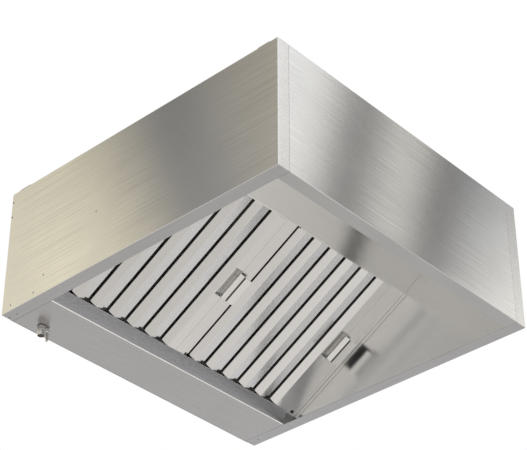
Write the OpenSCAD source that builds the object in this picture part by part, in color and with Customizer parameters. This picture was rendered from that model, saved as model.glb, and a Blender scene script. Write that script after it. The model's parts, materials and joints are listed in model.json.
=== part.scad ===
// Wall-mounted commercial exhaust hood in folded stainless sheet, in millimetres.
// X runs along the wall, Y towards the wall (its face is y = 0), Z up, the lower rim is z = 0.

/* [Canopy] */
// Width of the hood along the wall
hood_w = 1000; // [970:10:1200]
// Depth of the hood from the wall to the front face
hood_d = 1000; // [900:10:1200]
// Height of the canopy box
hood_h = 400; // [385:5:440]
// Thickness of the stainless sheet
sheet = 1; // [0.8:0.1:1.3]
// Width of the bottom flanges and of the side panels' front returns
flange_w = 40; // [34:1:45]
// Width of the returns along the top and the rear edges
return_w = 30; // [26:1:34]
// Height of the upturned hem on the front flange
hem_h = 8; // [5:1:12]
// Width of the strips behind the two front seams
strip_w = 36; // [24:2:40]

/* [Filters] */
// Slope of the filters above level, in degrees
slope = 30; // [27:1:34]
// Width of the filler panel left of the filters
filler_w = 85; // [65:1:110]
// Width of the flat flange along a filter's right edge
edge_flange_w = 46; // [42:1:52]
// Length of one filter up the slope
filter_len = 510; // [490:5:520]
// Thickness of one filter
filter_t = 25; // [24:1:30]
// Gap between two filters, and between a filter and the filler panel
filter_gap = 9; // [6:1:12]
// Travel of a filter up into its pocket
filter_lift = 14; // [10:1:18]
// Pitch of the front baffles
baffle_pitch = 68; // [66:1:69]
// Width of a front baffle
baffle_w = 58; // [54:1:60]
// Rise of a baffle's ridge above its edges
baffle_rise = 9; // [7:0.5:11]
// Length of the pull handle's recess
handle_len = 97; // [85:1:110]
// Width of the pull handle's recess
recess_w = 24; // [20:1:25]
// Height of the handle's lip above the filter's face
handle_h = 20; // [16:1:24]

/* [Grease trough] */
// Depth of the trough's bottom from the wall
trough_d = 155; // [145:1:170]
// Height of the trough's front lip
trough_h = 41; // [38:1:46]
// Forward lean of the trough's front wall
trough_lean = 15.5; // [13:0.5:18]
// Height of the trough's rear upstand
upstand_h = 45; // [35:1:60]

/* [Drain] */
// Distance of the drain from the hood's left side
drain_in = 109; // [100:1:140]
// Distance of the drain from the wall
drain_back = 40; // [34:1:60]
// Outer diameter of the drain outlet
outlet_d = 22; // [20:1:26]
// Length of the drain outlet below the trough
outlet_len = 30; // [26:1:40]
// Diameter of the lever's rod
lever_d = 8; // [6:0.5:9]
// Length of the lever below its axis
lever_len = 32; // [26:1:40]

/* [Duct and fixings] */
// Outer diameter of the duct collar
duct_d = 250; // [200:5:300]
// Height of the duct collar above the top
duct_h = 50; // [40:1:80]
// Distance of the duct's axis from the wall
duct_back = 400; // [360:5:440]
// Distance of the wall fixing holes from the hood's sides
fix_in = 100; // [90:5:150]
// Diameter of the wall fixing holes
fix_hole_d = 11; // [9:0.5:13]
// Distance of the hanger holes from the hood's sides
hang_inset = 50; // [46:1:60]
// Diameter of the hanger holes
hang_hole_d = 9; // [7:0.5:11]
// Diameter of the holes that join one hood to the next
join_hole_d = 5.5; // [4.5:0.5:6.5]

/* [Hidden] */
$fn = 48;

// General clearances
seam = 0.3;
cut = 5;

// Panels
half_w = hood_w / 2;
inner_w = half_w - sheet;
panel_w = half_w - flange_w - seam;
ceiling = hood_h - 2 * sheet;
join_edge = 5;
join_drop = 30;
join_pitch = 50;

// Rivets
rivet_d = 4.8;
rivet_hole_d = 5;
rivet_head_d = 8;
rivet_head_h = 1.5;

// Trough outline in (y, z): lip, front edge of the bottom, rear corner, top of the upstand
trough_line = [[-trough_d - trough_lean, trough_h], [-trough_d, 0], [-sheet, 0], [-sheet, upstand_h]];
trough_x = panel_w - 2.7 * sheet;
cap_h = 28;
tab_set = 6;
tab_rivet_x = half_w - 22;
tab_rivet_ys = [-37, -7];
riser_rivet_z = 18;
riser_rivet_ys = [-126, -35];

// Slope plane of the filters' front faces, just behind the trough's lip
slope_up = [-cos(slope), sin(slope)];
slope_out = [-sin(slope), -cos(slope)];
slope_base = mitre(trough_line, 0, sheet) - seam * slope_out;

// Filter places along X
rail_face_w = 12.5;
rail_gap = 0.5;
filter_w = inner_w - (filler_w + rail_face_w + rail_gap) / 2 - filter_gap;
filter_2_x = inner_w - rail_face_w - rail_gap - filter_w;
filter_1_x = filter_2_x - filter_gap - filter_w;
filler_edge = filter_1_x - filter_gap;
rail_edge = filter_2_x + filter_w + rail_gap;

// Filter places up the slope
filter_drop = 7;
filter_top = filter_len - filter_drop;
rear_play = 1.3;
rear_w = filter_t + rear_play;
pocket_spare = 1.5;
pocket_end = filter_top + filter_lift + pocket_spare;
pocket_flange = 38.5;
pocket_hem = 15;
support_w = 19;
blank_cover = 12;
blank_hem = 15;
rail_rivet_in = 19;
rail_rivet_shares = [0.004, 0.445, 0.961];
bar_flange = 12;
bar_half_w = 14.5;

// Filter insides
baffle_x = 0.5;
last_least_w = 50;
baffle_n = floor((filter_w - baffle_x - edge_flange_w - last_least_w) / baffle_pitch);
baffle_lip = 5;
ridge_share = 0.431;
ridge_x = baffle_w * ridge_share;
last_x = baffle_x + baffle_n * baffle_pitch;
flange_x = filter_w - edge_flange_w;
last_w = flange_x - last_x;
top_band = 15;
band_t = filter_top - top_band;
rear_flange = 12;
slot_half_w = 5;
rear_half_w = 17;
rear_base_half_w = 13;
rear_front_w = 15.5;
corner_run = 18;
corner_rise = 5;
notch_w = 14;
notch_len = 9;
drain_slot_d = 5;

// Handle
recess_play = 0.5;
recess_end = flange_x - sheet - recess_play;
recess_x = recess_end - recess_w;
recess_t = 201;
recess_depth = 9;
lip_w = 35.5;
lip_start = 2;
lip_stop = 8;
pan_hem = 3;
handle_rivet_d = 4;
handle_rivet_side = 4;
handle_rivet_ts = [recess_t + 7, recess_t + handle_len - 22];

// Filter rest in the trough
rest_gap = filter_drop + seam;
rest_back = 30;
rest_leg = 20;
rest_hole_d = 8;
rest_hole_pitch = 150;
rest_hole_w = 12;

// Drain
drain_x = drain_in - half_w;
gasket_t = 1;
gasket_lip = 1;
neck_d = 18;
neck_top = 8;
neck_clear = 0.3;
nut_clear = 0.1;
nut_t = 5;
nut_d = 28;
plug_z = 8;
plug_d = 9;
plug_clear = 0.05;
plug_back = 9;
flow_d = 6;
outlet_wall = 2;
outlet_cup = 14;
spigot_top = 14;
cock_d = outlet_d + 1;
hub_gap = 0.5;
hub_d = 11;
tang_d = 6;
tang_clear = 0.1;
lever_x = outlet_d / 2 + 10;
screw_d = 3;
screw_clear = 0.1;
screw_head_d = 7;
screw_head_h = 2;
screw_len = 8;

// Top and fixings
collar_flange = 21;
collar_rivet_n = 8;
collar_rivet_in = 10;
stiffener_shares = [0.15, 0.75];
stiffener_w = 30;
stiffener_foot = 15;
stiffener_h = 18;
hang_t = 3;
hang_len = 40;
hang_h = 25;
hang_gap = 2;
hang_reach = 20;
hang_rivet_x = 16;
hang_rivet_y = 12;
fix_drop = 50;
bar_t = 3;
bar_h = 40;
bar_over = 50;
fix_x = half_w - fix_in;

// Unit vector on the left-hand side of the run from a to b
function left_of(a, b) = [a.y - b.y, b.x - a.x] / norm(b - a);

// Point i of the open line p, moved to its left by th, with mitred corners
function mitre(p, i, th) =
    let (last = len(p) - 2,
         m = left_of(p[max(i - 1, 0)], p[max(i, 1)]) + left_of(p[min(i, last)], p[min(i, last) + 1]))
    p[i] + 2 * th * m / (m * m);

// Point (y, z) that lies t up the slope and w in front of the filters' faces
function on_slope(t, w) = slope_base + t * slope_up + w * slope_out;

// Sheet of thickness th folded along the open line p, on its left-hand side
module bent(p, th = sheet)
    polygon(concat(p, [for (i = [len(p) - 1:-1:0]) mitre(p, i, th)]));

// Profile in (y, z) carried along X
module along_x(x0, x1) translate([x0, 0, 0]) rotate([90, 0, 90]) linear_extrude(x1 - x0) children();

// Profile in (x, z) carried along Y
module along_y(y0, y1) translate([0, y1, 0]) rotate([90, 0, 0]) linear_extrude(y1 - y0) children();

// Block between two corners
module plate(a, b) translate(a) cube(b - a);

// Same thing on the left and on the right
module both_sides() {
    children();
    mirror([1, 0, 0]) children();
}

// Frame that stands on the slope: X along the wall, Y up the slope, Z out of the filters' faces
module slope_frame()
    translate([0, slope_base.x, slope_base.y]) rotate([180 - slope, 0, 0]) children();

// Hole through a side panel's sheets at (y, z), left side
module side_hole(y, z, d)
    translate([-half_w - cut, y, z]) rotate([0, 90, 0]) cylinder(d = d, h = 3 * cut);

// Rivet along +Z: flush at z = 0, with a low head beyond its grip
module rivet(grip)
    rotate_extrude() polygon([
        [0, 0], [rivet_d / 2, 0], [rivet_d / 2, grip], [rivet_head_d / 2, grip],
        [rivet_head_d / 2 - rivet_head_h / 2, grip + rivet_head_h], [0, grip + rivet_head_h]
    ]);

// Places of the rivets through a side panel, as (y, z)
rail_rivet_places = [for (s = rail_rivet_shares) on_slope(filter_len * s, -rail_rivet_in)];
riser_rivet_places = [for (y = riser_rivet_ys) [y, riser_rivet_z]];

// Places of the hanger holes
hang_places = [for (x = [hang_inset - half_w, half_w - hang_inset], y = [-hang_inset, hang_inset - hood_d]) [x, y]];

// Holes for the hanger rivets, left side
module hanger_rivet_holes()
    for (y = [-hang_inset, hang_inset - hood_d], dy = [-hang_rivet_y, hang_rivet_y])
        translate([hang_rivet_x - half_w, y + dy, ceiling - cut]) cylinder(d = rivet_hole_d, h = 4 * cut);

// Left side panel: wall, front return, bottom flange, rear return and top return
module side_panel() difference() {
    union() {
        plate([-half_w, -hood_d, 0], [-inner_w, 0, hood_h]);
        plate([-half_w, -hood_d, 0], [flange_w - half_w, sheet - hood_d, hood_h]);
        plate([-half_w, -hood_d, 0], [flange_w - half_w, -sheet - seam, sheet]);
        plate([-half_w, -sheet, 0], [return_w - half_w, 0, hood_h]);
        plate([-half_w, -hood_d, hood_h - sheet], [return_w - half_w, 0, hood_h]);
    }
    for (y = [join_edge - hood_d, -join_edge], z = [hood_h - join_drop, hood_h - join_drop - join_pitch])
        side_hole(y, z, join_hole_d);
    for (p = concat(rail_rivet_places, riser_rivet_places)) side_hole(p.x, p.y, rivet_hole_d);
    for (y = tab_rivet_ys) translate([-tab_rivet_x, y, -cut]) cylinder(d = rivet_hole_d, h = 3 * cut);
    hanger_rivet_holes();
}

module left_side_panel() color("#CFC9B8") side_panel();

module right_side_panel() color("#CFC9B8") mirror([1, 0, 0]) side_panel();

module front_panel() color("#C4C2BE") {
    plate([-panel_w, -hood_d, 0], [panel_w, sheet - hood_d, hood_h]);
    plate([-panel_w, -hood_d, 0], [panel_w, flange_w - hood_d, sheet]);
    plate([-panel_w, flange_w - sheet - hood_d, 0], [panel_w, flange_w - hood_d, hem_h]);
    plate([-panel_w, -hood_d, hood_h - sheet], [panel_w, return_w - hood_d, hood_h]);
}

// Strip behind the seam between the left side panel and the front panel
module joint_strip()
    plate([flange_w - half_w - strip_w / 2, sheet - hood_d, sheet + seam],
          [flange_w - half_w + strip_w / 2, 2 * sheet - hood_d, ceiling - seam]);

module left_joint_strip() color("#A9A7A3") joint_strip();

module right_joint_strip() color("#A9A7A3") mirror([1, 0, 0]) joint_strip();

// Wall fixing holes through the back panel and its bar
module fixing_holes()
    for (x = [-fix_x, fix_x])
        translate([x, cut, hood_h - fix_drop]) rotate([90, 0, 0]) cylinder(d = fix_hole_d, h = 3 * cut);

module back_panel() color("#A9A7A3") difference() {
    union() {
        plate([return_w + seam - half_w, -sheet, 0], [half_w - return_w - seam, 0, hood_h]);
        plate([return_w + seam - half_w, -return_w, hood_h - sheet], [half_w - return_w - seam, 0, hood_h]);
    }
    fixing_holes();
}

module wall_fixing_bar() color("#9A9894") difference() {
    plate([-fix_x - bar_over, -sheet - bar_t, hood_h - fix_drop - bar_h / 2],
          [fix_x + bar_over, -sheet, hood_h - fix_drop + bar_h / 2]);
    fixing_holes();
}

// Places round the duct collar's rivets
module round_collar()
    for (i = [0:collar_rivet_n - 1])
        translate([0, -duct_back, 0]) rotate([0, 0, 360 * i / collar_rivet_n])
            translate([duct_d / 2 + collar_rivet_in, 0, 0]) children();

module top_panel() color("#A9A7A3") difference() {
    plate([seam - inner_w, sheet + seam - hood_d, ceiling], [inner_w - seam, -sheet - seam, hood_h - sheet]);
    translate([0, -duct_back, ceiling - cut]) cylinder(d = duct_d - 2 * sheet, h = 3 * cut, $fn = 96);
    round_collar() translate([0, 0, ceiling - cut]) cylinder(d = rivet_hole_d, h = 3 * cut);
    both_sides() hanger_rivet_holes();
}

module top_stiffeners() color("#A9A7A3")
    for (s = stiffener_shares) translate([0, -hood_d * s, hood_h - sheet])
        along_x(return_w + seam - half_w, half_w - return_w - seam) bent([
            [-stiffener_w / 2 - stiffener_foot, 0], [-stiffener_w / 2, 0], [-stiffener_w / 2, stiffener_h],
            [stiffener_w / 2, stiffener_h], [stiffener_w / 2, 0], [stiffener_w / 2 + stiffener_foot, 0]
        ]);

module duct_collar() color("#B9B7B3") difference() {
    union() {
        translate([0, -duct_back, hood_h - sheet]) cylinder(d = duct_d + 2 * collar_flange, h = sheet, $fn = 96);
        translate([0, -duct_back, hood_h - sheet]) cylinder(d = duct_d, h = sheet + duct_h, $fn = 96);
    }
    translate([0, -duct_back, ceiling]) cylinder(d = duct_d - 2 * sheet, h = duct_h + cut, $fn = 96);
    round_collar() translate([0, 0, ceiling - cut]) cylinder(d = rivet_hole_d, h = 3 * cut);
}

module collar_rivets() color("#8E8C88") round_collar() translate([0, 0, ceiling]) rivet(2 * sheet);

// Slope position at which the blanking panel meets the top
blank_end = (ceiling - slope_base.y + seam * cos(slope)) / sin(slope);

module upper_slope_panel() color("#8F8E8B") along_x(seam - inner_w, inner_w - seam) bent([
    on_slope(filter_top - blank_cover, seam),
    on_slope(blank_end, seam),
    on_slope(blank_end, seam) - [blank_hem, 0]
]);

// Pocket that takes the filters' upper edges
module filter_top_rail() color("#A9A7A3")
    slope_frame() along_x(sheet + seam - inner_w, inner_w - sheet - seam) bent([
        [pocket_end + pocket_hem, seam], [pocket_end, seam], [pocket_end, -rear_w],
        [pocket_end - pocket_flange, -rear_w]
    ]);

// Folded support beside a filter, with its face cut back at the lip and at the top rail
module slope_rail(line, notch_x) difference() {
    slope_frame() difference() {
        along_y(-filter_drop, filter_top) bent(line);
        plate([-half_w, pocket_end - pocket_flange - seam, -rear_w - cut], [half_w, filter_len, -rear_w]);
        plate([notch_x - notch_w, 0, -3 * sheet], [notch_x, notch_len, cut]);
    }
    for (p = rail_rivet_places) both_sides() side_hole(p.x, p.y, rivet_hole_d);
}

module left_filler_panel() color("#BDBCBA") slope_rail([
    [filler_edge + support_w, -rear_w], [filler_edge, -rear_w], [filler_edge, 0],
    [-inner_w, 0], [-inner_w, -rear_w - sheet]
], filler_edge);

module right_filter_rail() color("#BDBCBA") slope_rail([
    [inner_w, -rear_w - sheet], [inner_w, 0], [rail_edge, 0], [rail_edge, -rear_w],
    [rail_edge - support_w, -rear_w]
], -half_w);

module filter_centre_bar() color("#A9A7A3") slope_frame()
    translate([filter_2_x - filter_gap / 2, 0, -rear_w - sheet]) along_y(-rest_gap, pocket_end) bent([
        [bar_half_w, -bar_flange], [bar_half_w, 0], [-bar_half_w, 0], [-bar_half_w, -bar_flange]
    ]);

module rail_rivets() color("#6E6C68") both_sides()
    for (p = rail_rivet_places) translate([-half_w, p.x, p.y]) rotate([0, 90, 0]) rivet(2 * sheet);

module grease_trough() color("#9C9A98") difference() {
    union() {
        along_x(-trough_x, trough_x) bent(trough_line);
        plate([-panel_w, -trough_d, 0], [panel_w, -sheet, sheet]);
    }
    translate([drain_x, -drain_back, -cut]) cylinder(d = neck_d + 2 * neck_clear, h = 3 * cut);
}

// Point of the trough's inner face at height z
function trough_inside(z) =
    let (a = mitre(trough_line, 0, sheet), b = mitre(trough_line, 1, sheet))
    b + (a - b) * (z - b.y) / (a.y - b.y);

// Left end of the trough: cap, base tab on the flange and riser on the side panel
module trough_end() difference() {
    union() {
        along_x(-trough_x, sheet - trough_x) polygon([
            trough_inside(cap_h), mitre(trough_line, 1, sheet), mitre(trough_line, 2, sheet),
            [-2 * sheet, cap_h]
        ]);
        plate([-inner_w, tab_set - trough_d, sheet], [-trough_x, -2 * sheet - seam, 2 * sheet]);
        plate([-inner_w, tab_set - trough_d, sheet], [sheet - inner_w, -2 * sheet - seam, cap_h]);
    }
    for (p = riser_rivet_places) side_hole(p.x, p.y, rivet_hole_d);
    for (y = tab_rivet_ys) translate([-tab_rivet_x, y, -cut]) cylinder(d = rivet_hole_d, h = 3 * cut);
}

module trough_end_left() color("#8D8C88") trough_end();

module trough_end_right() color("#8D8C88") mirror([1, 0, 0]) trough_end();

module trough_rivets() color("#6E6C68") both_sides() {
    for (p = riser_rivet_places) translate([-half_w, p.x, p.y]) rotate([0, 90, 0]) rivet(2 * sheet);
    for (y = tab_rivet_ys) translate([-tab_rivet_x, y, 0]) rivet(2 * sheet);
}

// Unit vector down the trough's front wall, and the distance down it to the rest's shelf
wall_down = (trough_line[1] - trough_line[0]) / norm(trough_line[1] - trough_line[0]);
rest_down = -rest_gap / (wall_down * slope_up);
rest_corner = mitre(trough_line, 0, sheet) + rest_down * wall_down;

module filter_rest_rail() color("#A9A7A3") difference() {
    along_x(sheet + seam - trough_x, trough_x - sheet - seam) bent([
        on_slope(-rest_gap, -rest_back), rest_corner, rest_corner + rest_leg * wall_down
    ]);
    slope_frame() for (x = [-2 * rest_hole_pitch:rest_hole_pitch:2 * rest_hole_pitch])
        translate([x, cut - rest_gap, -rest_hole_w]) rotate([90, 0, 0]) cylinder(d = rest_hole_d, h = 3 * cut);
}

// Things that stand round the drain's own vertical axis
module at_drain() translate([drain_x, -drain_back, 0]) children();

// Things that stand along the plug's axis, which points to +X
module at_plug() at_drain() translate([0, 0, -plug_z]) rotate([0, 90, 0]) children();

module drain_cock_body() color("#C9C7C3") difference() {
    at_drain() union() {
        translate([0, 0, -outlet_len]) cylinder(d = outlet_d, h = outlet_len - gasket_t);
        translate([0, 0, -spigot_top]) cylinder(d = cock_d, h = spigot_top - gasket_t);
        translate([0, 0, -outlet_len]) cylinder(d = neck_d, h = outlet_len + neck_top);
    }
    at_drain() translate([0, 0, -outlet_len - cut]) cylinder(d = flow_d, h = outlet_len + neck_top + 2 * cut);
    at_drain() translate([0, 0, -outlet_len - cut]) cylinder(d = outlet_d - 2 * outlet_wall, h = outlet_cup + cut);
    at_plug() translate([0, 0, -plug_back - plug_clear])
        cylinder(d = plug_d + 2 * plug_clear, h = outlet_d + plug_back);
}

module drain_gasket() color("#2E2E2E") at_drain() difference() {
    translate([0, 0, -gasket_t]) cylinder(d = cock_d + 2 * gasket_lip, h = gasket_t);
    translate([0, 0, -gasket_t - cut]) cylinder(d = neck_d + 2 * nut_clear, h = gasket_t + 2 * cut);
}

module drain_locknut() color("#B9B7B3") at_drain() difference() {
    translate([0, 0, sheet]) cylinder(d = nut_d, h = nut_t, $fn = 6);
    translate([0, 0, sheet - cut]) cylinder(d = neck_d + 2 * nut_clear, h = nut_t + 2 * cut);
}

// Plug that turns in the body, with its flow hole upright when the cock is open
module drain_plug() color("#B08D57") difference() {
    at_plug() union() {
        translate([0, 0, -plug_back]) cylinder(d = plug_d, h = plug_back + outlet_d / 2);
        cylinder(d = tang_d, h = lever_x + lever_d / 2);
    }
    at_drain() translate([0, 0, -plug_z - plug_d]) cylinder(d = flow_d, h = 2 * plug_d);
    at_plug() translate([0, 0, lever_x + lever_d / 2 - screw_len])
        cylinder(d = screw_d + 2 * screw_clear, h = screw_len + cut);
}

module drain_lever() color("#BEBCB8") difference() {
    union() {
        at_plug() translate([0, 0, cock_d / 2 + hub_gap])
            cylinder(d = hub_d, h = lever_x + lever_d / 2 - cock_d / 2 - hub_gap);
        at_drain() translate([lever_x, 0, -plug_z - lever_len + lever_d / 2])
            cylinder(d = lever_d, h = lever_len - lever_d / 2);
        at_drain() translate([lever_x, 0, -plug_z - lever_len + lever_d / 2]) sphere(d = lever_d);
    }
    at_plug() cylinder(d = tang_d + 2 * tang_clear, h = lever_x + outlet_d);
}

module lever_screw() color("#8E8C88") at_plug() translate([0, 0, lever_x + lever_d / 2]) {
    translate([0, 0, -screw_len]) cylinder(d = screw_d, h = screw_len);
    cylinder(d = screw_head_d, h = screw_head_h);
}

// Bracket at a corner of the top: base on the return, riser and flange with the rod's hole
module hanger_bracket() difference() {
    along_y(-hang_len / 2, hang_len / 2) polygon([
        [hang_gap - hang_inset, 0], [return_w - hang_inset, 0],
        [return_w - hang_inset, hang_h - hang_t], [hang_reach, hang_h - hang_t], [hang_reach, hang_h],
        [return_w - hang_inset - hang_t, hang_h], [return_w - hang_inset - hang_t, hang_t],
        [hang_gap - hang_inset, hang_t]
    ]);
    translate([0, 0, -cut]) cylinder(d = hang_hole_d, h = hang_h + 2 * cut);
    for (dy = [-hang_rivet_y, hang_rivet_y])
        translate([hang_rivet_x - hang_inset, dy, -cut]) cylinder(d = rivet_hole_d, h = 3 * cut);
}

module hanger_brackets() color("#9A9894") both_sides()
    for (p = [for (q = hang_places) if (q.x < 0) q]) translate([p.x, p.y, hood_h]) hanger_bracket();

module hanger_rivets() color("#8E8C88") both_sides()
    for (p = [for (q = hang_places) if (q.x < 0) q], dy = [-hang_rivet_y, hang_rivet_y])
        translate([p.x + hang_rivet_x - hang_inset, p.y + dy, ceiling]) rivet(hang_t + 2 * sheet);

// Tray of one filter, from its left edge at x = 0
module filter_frame() difference() {
    union() {
        plate([0, -filter_drop, -filter_t], [sheet, filter_top, -baffle_rise - baffle_lip - seam]);
        plate([filter_w - sheet, -filter_drop, -filter_t], [filter_w, filter_top, 0]);
        plate([flange_x + seam, -filter_drop, -sheet], [filter_w, filter_top, 0]);
        plate([0, -filter_drop, -filter_t], [filter_w, sheet - filter_drop, 0]);
        plate([0, -filter_drop, -sheet], [filter_w, -seam, 0]);
        plate([0, filter_top - sheet, -filter_t], [filter_w, filter_top, 0]);
        plate([0, band_t, -sheet], [filter_w, filter_top, 0]);
        difference() {
            plate([0, -filter_drop, -filter_t], [filter_w, filter_top, sheet - filter_t]);
            plate([rear_flange, rear_flange - filter_drop, -filter_t - cut],
                  [filter_w - rear_flange, filter_top - rear_flange, cut]);
        }
    }
    plate([filter_w - notch_w, 0, -3 * sheet], [filter_w + cut, notch_len, cut]);
    for (k = [0:baffle_n - 1])
        translate([baffle_x + baffle_w + slot_half_w + k * baffle_pitch, cut - filter_drop, -filter_t / 2])
            rotate([90, 0, 0]) cylinder(d = drain_slot_d, h = 3 * cut);
}

// Corner cuts at the lower end of a baffle of width w
module corner_cuts(w, notched) {
    translate([0, 0, -filter_t]) linear_extrude(2 * filter_t)
        polygon([[-cut, -cut], [corner_run, -cut], [corner_run, 0], [0, corner_rise], [-cut, corner_rise]]);
    if (notched) plate([w - notch_w, -cut, -filter_t], [w + cut, notch_len, filter_t]);
}

// Front baffles of one filter: ridged strips, and a last one that ends flat beside the tray's flange
module front_baffles() {
    for (k = [0:baffle_n - 1]) translate([baffle_x + k * baffle_pitch, 0, 0]) difference() {
        along_y(0, band_t - seam) bent([
            [baffle_w, -baffle_rise - baffle_lip], [baffle_w, -baffle_rise], [ridge_x, 0],
            [0, -baffle_rise], [0, -baffle_rise - baffle_lip]
        ]);
        corner_cuts(baffle_w, true);
    }
    difference() {
        translate([last_x, 0, 0]) difference() {
            along_y(0, band_t - seam) bent([
                [last_w, 0], [ridge_x, 0], [0, -baffle_rise], [0, -baffle_rise - baffle_lip]
            ]);
            corner_cuts(last_w, false);
        }
        plate([recess_x, recess_t, -filter_t], [filter_w, recess_t + handle_len, cut]);
    }
}

// Rear baffles of one filter: channels behind the slots, on the tray's rear flanges
module rear_baffles()
    for (k = [0:baffle_n - 1])
        translate([baffle_x + baffle_w + slot_half_w + k * baffle_pitch, 0, sheet - filter_t])
            along_y(sheet + seam - filter_drop, filter_top - sheet - seam) bent([
                [-rear_half_w, filter_t - sheet - rear_front_w], [-rear_base_half_w, 0],
                [rear_base_half_w, 0], [rear_half_w, filter_t - sheet - rear_front_w]
            ]);

// Pull handle of one filter: pan sunk in the last baffle, wall and lip over the tray's flange
module filter_handle() {
    difference() {
        along_y(recess_t, recess_t + handle_len) bent([
            [recess_end + lip_w, handle_h], [recess_end, handle_h], [recess_end, -recess_depth],
            [recess_x, -recess_depth], [recess_x, -sheet], [recess_x - pan_hem, -sheet]
        ]);
        plate([recess_end - cut, recess_t - cut, 0], [filter_w, recess_t + lip_start, handle_h + cut]);
        plate([recess_end - cut, recess_t + handle_len - lip_stop, 0],
              [filter_w, recess_t + handle_len + cut, handle_h + cut]);
    }
    for (t = [recess_t, recess_t + handle_len - sheet])
        plate([recess_x, t, -recess_depth], [recess_end, t + sheet, -sheet]);
}

// The two rivets in the handle's pan
module handle_rivets()
    for (t = handle_rivet_ts) translate([recess_end - handle_rivet_side, t, -recess_depth])
        cylinder(d1 = handle_rivet_d, d2 = handle_rivet_d / 2, h = sheet);

// Places of the two filters
module at_filter_1() slope_frame() translate([filter_1_x, 0, 0]) children();

module at_filter_2() slope_frame() translate([filter_2_x, 0, 0]) children();

module filter_1_frame() color("#BDBCBA") at_filter_1() filter_frame();

module filter_1_front_baffles() color("#C4C3C1") at_filter_1() front_baffles();

module filter_1_rear_baffles() color("#8E8D8B") at_filter_1() rear_baffles();

module filter_1_handle() color("#B4B3B1") at_filter_1() filter_handle();

module filter_1_handle_rivets() color("#5A5856") at_filter_1() handle_rivets();

module filter_2_frame() color("#BDBCBA") at_filter_2() filter_frame();

module filter_2_front_baffles() color("#C4C3C1") at_filter_2() front_baffles();

module filter_2_rear_baffles() color("#8E8D8B") at_filter_2() rear_baffles();

module filter_2_handle() color("#B4B3B1") at_filter_2() filter_handle();

module filter_2_handle_rivets() color("#5A5856") at_filter_2() handle_rivets();

left_side_panel();
right_side_panel();
front_panel();
left_joint_strip();
right_joint_strip();
back_panel();
top_panel();
top_stiffeners();
upper_slope_panel();
filter_top_rail();
left_filler_panel();
right_filter_rail();
filter_centre_bar();
rail_rivets();
grease_trough();
trough_end_left();
trough_end_right();
trough_rivets();
filter_rest_rail();
drain_cock_body();
drain_gasket();
drain_locknut();
drain_plug();
drain_lever();
lever_screw();
duct_collar();
collar_rivets();
hanger_brackets();
hanger_rivets();
wall_fixing_bar();
filter_1_frame();
filter_1_front_baffles();
filter_1_rear_baffles();
filter_1_handle();
filter_1_handle_rivets();
filter_2_frame();
filter_2_front_baffles();
filter_2_rear_baffles();
filter_2_handle();
filter_2_handle_rivets();
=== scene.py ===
# Wall-mounted kitchen exhaust hood in brushed stainless sheet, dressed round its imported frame
import json
import math

import bmesh
import bpy
import numpy as np
from mathutils import Matrix


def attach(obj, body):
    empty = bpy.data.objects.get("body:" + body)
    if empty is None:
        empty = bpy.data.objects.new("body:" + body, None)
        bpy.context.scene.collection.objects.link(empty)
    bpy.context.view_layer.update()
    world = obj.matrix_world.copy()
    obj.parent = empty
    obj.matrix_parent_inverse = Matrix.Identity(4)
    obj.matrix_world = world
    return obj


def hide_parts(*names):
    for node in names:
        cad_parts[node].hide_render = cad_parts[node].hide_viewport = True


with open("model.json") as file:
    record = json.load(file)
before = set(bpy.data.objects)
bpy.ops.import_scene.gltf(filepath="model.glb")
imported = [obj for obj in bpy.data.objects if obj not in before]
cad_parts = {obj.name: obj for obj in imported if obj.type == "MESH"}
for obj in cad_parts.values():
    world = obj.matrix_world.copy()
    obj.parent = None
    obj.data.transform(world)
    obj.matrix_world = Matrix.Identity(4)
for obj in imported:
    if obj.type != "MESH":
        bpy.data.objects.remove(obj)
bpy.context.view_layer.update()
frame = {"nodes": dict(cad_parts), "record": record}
print("frame loaded:", len(frame["nodes"]), "nodes")


def toLinear(hexCode):
    # sRGB to linear light: a straight line below 0.04045, a power curve above it
    parts = [int(hexCode[i:i + 2], 16) / 255 for i in (1, 3, 5)]
    return [c / 12.92 if c <= 0.04045 else ((c + 0.055) / 1.055) ** 2.4 for c in parts] + [1.0]


def addNode(tree, kind, inputs=None, **settings):
    # One shader node with its settings; an input is a value, another node or one of its outputs
    node = tree.nodes.new(kind)
    for name, value in settings.items():
        setattr(node, name, value)
    for name, value in (inputs or {}).items():
        if isinstance(value, bpy.types.Node):
            value = value.outputs[0]
        if isinstance(value, bpy.types.NodeSocket):
            tree.links.new(value, node.inputs[name])
        else:
            node.inputs[name].default_value = value
    return node


# Studio: camera, what the steel mirrors, floor and lamp, in metres
cameraValues = {
    "place": (-3.04485, -3.27603, -2.57085),
    "yaw": 0.83062,
    "pitch": 0.61164,
    "lens": 122.96,
    "sensor": 36.0,
    "far": 60.0,
}


def makeCamera(values):
    # The yaw turns from the wall's direction to the right, the pitch rises from the horizon, both in radians
    yaw, pitch = values["yaw"], values["pitch"]
    ahead = np.array([math.sin(yaw) * math.cos(pitch), math.cos(yaw) * math.cos(pitch), math.sin(pitch)])
    right = np.array([math.cos(yaw), -math.sin(yaw), 0.0])
    up = np.cross(right, ahead)
    data = bpy.data.cameras.new("view")
    data.sensor_fit = "HORIZONTAL"
    data.sensor_width = values["sensor"]
    data.lens = values["lens"]
    data.clip_end = values["far"]
    camera = bpy.data.objects.new("view", data)
    turn = Matrix([list(row) for row in np.column_stack([right, up, -ahead])]).to_4x4()
    camera.matrix_world = Matrix.Translation(values["place"]) @ turn
    bpy.context.scene.collection.objects.link(camera)
    bpy.context.scene.camera = camera


makeCamera(cameraValues)

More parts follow.
